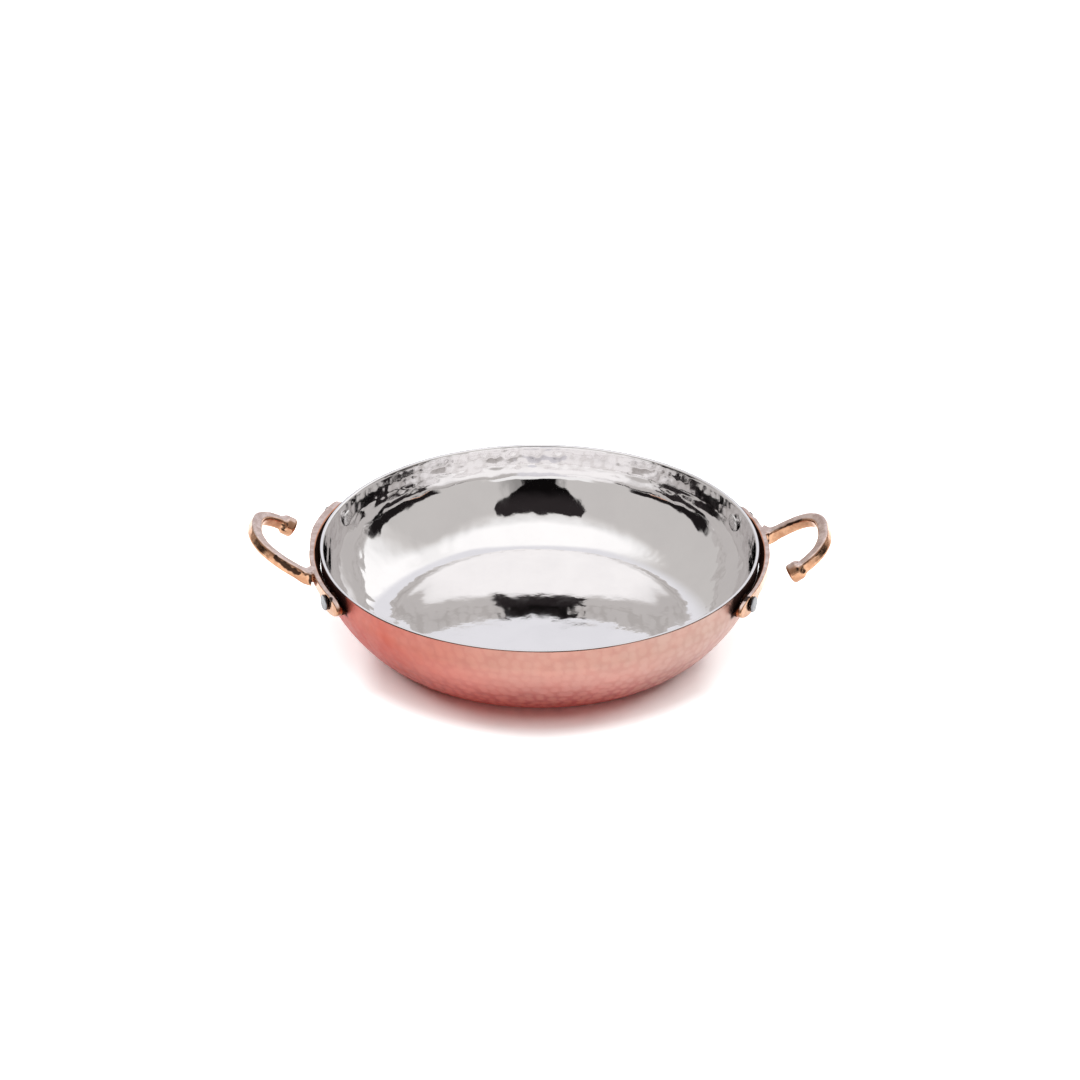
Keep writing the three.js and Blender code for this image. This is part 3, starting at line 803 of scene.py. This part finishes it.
# lining: bright silver, mirror-like; the floor dips a little towards its back
m_lining, nt, b = new_material("lining_silver", (0.90, 0.885, 0.89), 0.07)
v = coords(nt)
x, y, z = axes(nt, v)
cl = blend_colour(nt, remap(nt, noise(nt, v, 45, 4), 0.35, 0.7, 0, 1), (0.905, 0.892, 0.895), (0.875, 0.862, 0.867))
# painted shade: the "blow" attribute darkens the lining on the ridges between its dimples
blow = nt.nodes.new("ShaderNodeAttribute")
blow.attribute_name = "blow"
cl = blend_colour(nt, math_node(nt, "MULTIPLY", blow.outputs["Fac"], 0.26), cl, (0.45, 0.42, 0.40))
nt.links.new(cl, b.inputs["Base Color"])
nt.links.new(remap(nt, noise(nt, v, 120, 4), 0.3, 0.75, 0.02, 0.075), b.inputs["Roughness"])
dip = math_node(nt, "MULTIPLY", remap(nt, from_axis(nt, v), 0.070, 0.060, 0, 1),
                math_node(nt, "MULTIPLY", remap(nt, y, 0.066, 0.048, 0, 1),
                          remap(nt, y, 0.004, 0.036, math.tan(math.radians(2.8)), math.tan(math.radians(4.2)))))
geo = nt.nodes.new("ShaderNodeNewGeometry")
push = nt.nodes.new("ShaderNodeCombineXYZ")
nt.links.new(dip, push.inputs["Y"])
lean = nt.nodes.new("ShaderNodeVectorMath")
lean.operation = "ADD"
nt.links.new(geo.outputs["Normal"], lean.inputs[0])
nt.links.new(push.outputs[0], lean.inputs[1])
unit = nt.nodes.new("ShaderNodeVectorMath")
unit.operation = "NORMALIZE"
nt.links.new(lean.outputs[0], unit.inputs[0])
bump(nt, b, noise(nt, v, 260, 3, 0.5), 0.11, 0.0002, unit.outputs[0])

# bronze: rose gold; painted light makes it paler where it faces up, painted shade makes it dark and dull in the gap
# next to the pan
m_bronze, nt, b = new_material("bronze_rose", (0.74, 0.50, 0.38), 0.17)
v = coords(nt)
geo = nt.nodes.new("ShaderNodeNewGeometry")
nz = axes(nt, geo.outputs["Normal"])[2]
mott = remap(nt, noise(nt, v, 210, 4, 0.65), 0.38, 0.66, 0, 1)
# painted light: lit and shaded copies of the bronze, pale on faces turned up and golden brown on the sides
pale = blend_colour(nt, mott, (0.60, 0.455, 0.405), (0.80, 0.65, 0.60))
shaded_side_bronze = blend_colour(nt, mott, (0.39, 0.195, 0.112), (0.54, 0.305, 0.190))
cb = blend_colour(nt, remap(nt, nz, 0.60, 0.90, 0, 1), shaded_side_bronze, pale)
# painted reflection of the copper: an orange line along the inner edge; painted shade: the inner face next to the pan
# nearly black
r = from_axis(nt, v)
cb = blend_colour(nt, remap(nt, r, 0.1131, 0.1126, 0, 0.8), cb, (0.62, 0.22, 0.09))
cb = blend_colour(nt, remap(nt, r, 0.1124, 0.1120, 0, 0.95), cb, (0.05, 0.02, 0.014))
# painted shade: the handles' dark strokes, nearly black and duller
painted_shade = nt.nodes.new("ShaderNodeAttribute")
painted_shade.attribute_name = "painted_shade"
cb = blend_colour(nt, math_node(nt, "MULTIPLY", painted_shade.outputs["Fac"], 0.95), cb, (0.022, 0.011, 0.008))
nt.links.new(cb, b.inputs["Base Color"])
gap = remap(nt, r, 0.1123, 0.1119, 0, 0.85)
dull = math_node(nt, "MAXIMUM", gap, math_node(nt, "MULTIPLY", painted_shade.outputs["Fac"], 0.5))
nt.links.new(math_node(nt, "MAXIMUM", remap(nt, noise(nt, v, 240, 3), 0.3, 0.75, 0.13, 0.26), dull), b.inputs["Roughness"])
bump(nt, b, noise(nt, v, 320, 3, 0.5), 0.22, 0.0004)

# rivets: grey, brushed by hammering; painted shade makes them dark round their edges
m_rivet, nt, b = new_material("rivet_grey", (0.40, 0.39, 0.40), 0.27)
v = coords(nt)
cr = blend_colour(nt, remap(nt, noise(nt, v, 300, 3), 0.35, 0.7, 0, 1), (0.22, 0.215, 0.225), (0.16, 0.155, 0.165))
inner = nt.nodes.new("ShaderNodeAttribute")
inner.attribute_name = "inner"
cr = blend_colour(nt, inner.outputs["Fac"], cr, (0.84, 0.83, 0.83))
# painted shade: the sides of the outer heads nearly black
edge = nt.nodes.new("ShaderNodeAttribute")
edge.attribute_name = "edge"
cr = blend_colour(nt, remap(nt, edge.outputs["Fac"], 0.3, 0.8, 0, 0.92), cr, (0.03, 0.025, 0.025))
nt.links.new(cr, b.inputs["Base Color"])
nt.links.new(remap(nt, noise(nt, v, 500, 3), 0.3, 0.7, 0.2, 0.36), b.inputs["Roughness"])
bump(nt, b, noise(nt, v, 420, 3, 0.5), 0.25, 0.0003)


def finish_piece(ob, mat, slot, *nodes):
    ob.data.materials.clear()
    ob.data.materials.append(mat)
    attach(ob, "root")
    if nodes:
        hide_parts(*nodes)


finish_piece(copper, m_copper, "copper", "pan_body")
finish_piece(lining, m_lining, "copper")
finish_piece(right, m_bronze, "bronze", "handle_right")
finish_piece(left, m_bronze, "bronze", "handle_left")
for node, ob in rivets.items():
    finish_piece(ob, m_rivet, "rivet", node)

# ---- floor ---------------------------------------------------------------------------
size = 4.0
floor = mesh_object("stage_floor", [(-size, -size, -0.0001), (size, -size, -0.0001), (size, size, -0.0001), (-size, size, -0.0001)], [(0, 1, 2, 3)], smooth=False)
m_floor, nt, b = new_material("floor_pale", (0.93, 0.925, 0.92), 0.6, 0.0)
b.inputs["Specular IOR Level"].default_value = 0.05
fv = coords(nt)
# painted light: the floor glows more away from the pan and at its sides, which narrows its shadow, and glows faint red
# near the pan in place of light bounced off the copper
side_x = nt.nodes.new("ShaderNodeSeparateXYZ")
nt.links.new(fv, side_x.inputs[0])
painted_glow_sides = remap(nt, math_node(nt, "ABSOLUTE", side_x.outputs[0], 0.0), 0.075, 0.093, 0, 0.62)
away = math_node(nt, "MAXIMUM", remap(nt, from_axis(nt, fv), 0.098, 0.120, 0, 1), painted_glow_sides)
nt.links.new(blend_colour(nt, away, (0.030, 0.020, 0.019), (0.46, 0.54, 0.55)), b.inputs["Emission Color"])
b.inputs["Emission Strength"].default_value = 1.0
floor.data.materials.append(m_floor)

# ---- studio light: a white surround with the dark gaps of a real studio ---------------
world = bpy.data.worlds.new("studio")
bpy.context.scene.world = world
world.use_nodes = True
wt = world.node_tree
bg = wt.nodes["Background"]


def M(op, *args):
    n = wt.nodes.new("ShaderNodeMath")
    n.operation = op
    for i, a in enumerate(args):
        if isinstance(a, (int, float)):
            n.inputs[i].default_value = a
        else:
            wt.links.new(a, n.inputs[i])
    return n.outputs[0]


def step(value, a, b, lo=0.0, hi=1.0):
    n = wt.nodes.new("ShaderNodeMapRange")
    n.interpolation_type = "SMOOTHSTEP"
    n.inputs["From Min"].default_value = a
    n.inputs["From Max"].default_value = b
    n.inputs["To Min"].default_value = lo
    n.inputs["To Max"].default_value = hi
    wt.links.new(value, n.inputs["Value"])
    return n.outputs["Result"]


def window(value, a, b, soft_a, soft_b):
    """1 between a and b, fading to 0 over the soft widths outside"""
    up = step(value, a - soft_a, a)
    down = step(value, b, b + soft_b, 1.0, 0.0)
    return M("MULTIPLY", up, down)


tc = wt.nodes.new("ShaderNodeTexCoord")
sep = wt.nodes.new("ShaderNodeSeparateXYZ")
wt.links.new(tc.outputs["Generated"], sep.inputs[0])
X, Y, Z = sep.outputs
elev = M("MULTIPLY", M("ARCSINE", Z), 180 / math.pi)
off = M("MULTIPLY", M("ARCTAN2", X, M("MULTIPLY", Y, -1)), 180 / math.pi)   # 0 towards the camera, + to the right
az = M("MULTIPLY", M("ARCTAN2", X, Y), 180 / math.pi)                         # 0 behind the pan, + to the right


def mixv(fac, a, b):
    """a where fac is 0, b where it is 1"""
    inv = M("SUBTRACT", 1.0, fac)
    return M("ADD", M("MULTIPLY", inv, a), M("MULTIPLY", fac, b))


level = step(elev, 46, 66, 0.60, 1.12)
# bright screen behind, to the right
level = mixv(M("MULTIPLY", window(az, 24, 58, 24, 34), window(elev, 13, 44, 3, 26)), level, 1.12)
behind = M("MULTIPLY", window(az, -14, 24, 20, 10), window(elev, 6, 60, 4, 8))
level = mixv(behind, level, 0.84)
# low white strip in front
level = mixv(M("MULTIPLY", window(off, -24, 22, 8, 8), window(elev, -1, 11.5, 2, 1)), level, 0.95)
# dark gap in front, between the lights, with the camera in it; it widens upwards
level = mixv(M("MULTIPLY", window(off, -11, 14, 3, 9), window(elev, 13, 35, 1, 4)), level, 0.30)
half = M("ADD", 9.6, M("MULTIPLY", M("MINIMUM", 1.0, M("MAXIMUM", 0.0, M("DIVIDE", M("SUBTRACT", elev, 24.0), 21.0))), 21.5))
inside = M("SUBTRACT", half, M("ABSOLUTE", M("SUBTRACT", off, step(elev, 28, 45, 0.0, -1.0))))
dark = step(elev, 30, 44, 0.004, 0.026)
level = mixv(M("MULTIPLY", step(inside, -1.2, 1.2), window(elev, 13, 52, 1, 2)), level, dark)
# dark sides, low down
level = mixv(M("MULTIPLY", window(az, -128, -79, 4, 4), window(elev, 2, 13.5, 2, 1.5)), level, 0.012)
level = mixv(M("MULTIPLY", window(az, 76, 122, 4, 4), window(elev, 2, 15, 2, 1.5)), level, 0.012)
wt.links.new(level, bg.inputs["Strength"])


def world_mix(fac, a, b):
    n = wt.nodes.new("ShaderNodeMix")
    n.data_type = "RGBA"
    wt.links.new(fac, n.inputs["Factor"])
    for sock, val in ((n.inputs[6], a), (n.inputs[7], b)):
        if isinstance(val, tuple):
            sock.default_value = (*val, 1)
        else:
            wt.links.new(val, sock)
    return n.outputs[2]


warm = world_mix(step(level, 0.6, 0.95), (1.0, 0.965, 0.94), (1.0, 0.99, 0.985))
bluish = world_mix(behind, warm, (0.995, 0.99, 1.035))
wt.links.new(world_mix(step(level, 0.08, 0.03), bluish, (1.0, 0.83, 0.87)), bg.inputs["Color"])


def area(name, loc, target, size_x, size_y, power, glossy):
    d = bpy.data.lights.new(name, "AREA")
    d.shape = "ELLIPSE"
    d.size, d.size_y = size_x, size_y
    d.energy = power
    o = bpy.data.objects.new(name, d)
    o.location = loc
    aim = (Vector(target) - Vector(loc)).normalized()
    right = aim.cross(Vector((0, 1, 0))).normalized()
    o.rotation_euler = Matrix((right, right.cross(aim), -aim)).transposed().to_euler()
    bpy.context.scene.collection.objects.link(o)
    o.visible_camera = False
    o.visible_glossy = glossy
    return o


# an overhead softbox that lights the floor
area("softbox_floor", (0, 0.0, 2.6), (0, 0, 0), 8.0, 3.64, 160, False)
# two more behind the pan, left and right, that lighten the shadow at its sides
for side in (-1, 1):
    a, e = math.radians(62), math.radians(32)
    area("softbox_side_" + "lr"[side > 0], (side * 2.5 * math.sin(a) * math.cos(e), 2.5 * math.cos(a) * math.cos(e), 2.5 * math.sin(e)),
         (0, 0, 0), 1.3, 1.3, 45, False)
world.cycles_visibility.diffuse = False

# ---- camera: 28 degrees above, in front --------------------------------------------------
DIST, ELEV = 2.6, math.radians(28.06)
LENS_PX = 5203.0
cam_data = bpy.data.cameras.new("camera")
cam_data.sensor_width = 36
cam_data.lens = LENS_PX / 1080 * 36
cam_data.clip_end = 100
cam = bpy.data.objects.new("camera", cam_data)
bpy.context.scene.collection.objects.link(cam)
bpy.context.scene.camera = cam
back = Vector((0, -math.cos(ELEV), math.sin(ELEV)))
upv = Vector((0, math.sin(ELEV), math.cos(ELEV)))
px = DIST / LENS_PX
target = Vector((0, 0, PAN_H * MM)) + upv * (3.99 * px) + Vector((1, 0, 0)) * (0.36 * px)
cam.location = target + back * DIST
roll = Matrix.Rotation(math.radians(-0.25), 3, -back)
rot = Matrix((Vector((1, 0, 0)), upv, back)).transposed()
cam.rotation_euler = (roll @ rot).to_euler()

sc = bpy.context.scene
sc.view_settings.view_transform = "Standard"
sc.view_settings.look = "None"
sc.view_settings.exposure = 0
sc.view_settings.gamma = 1
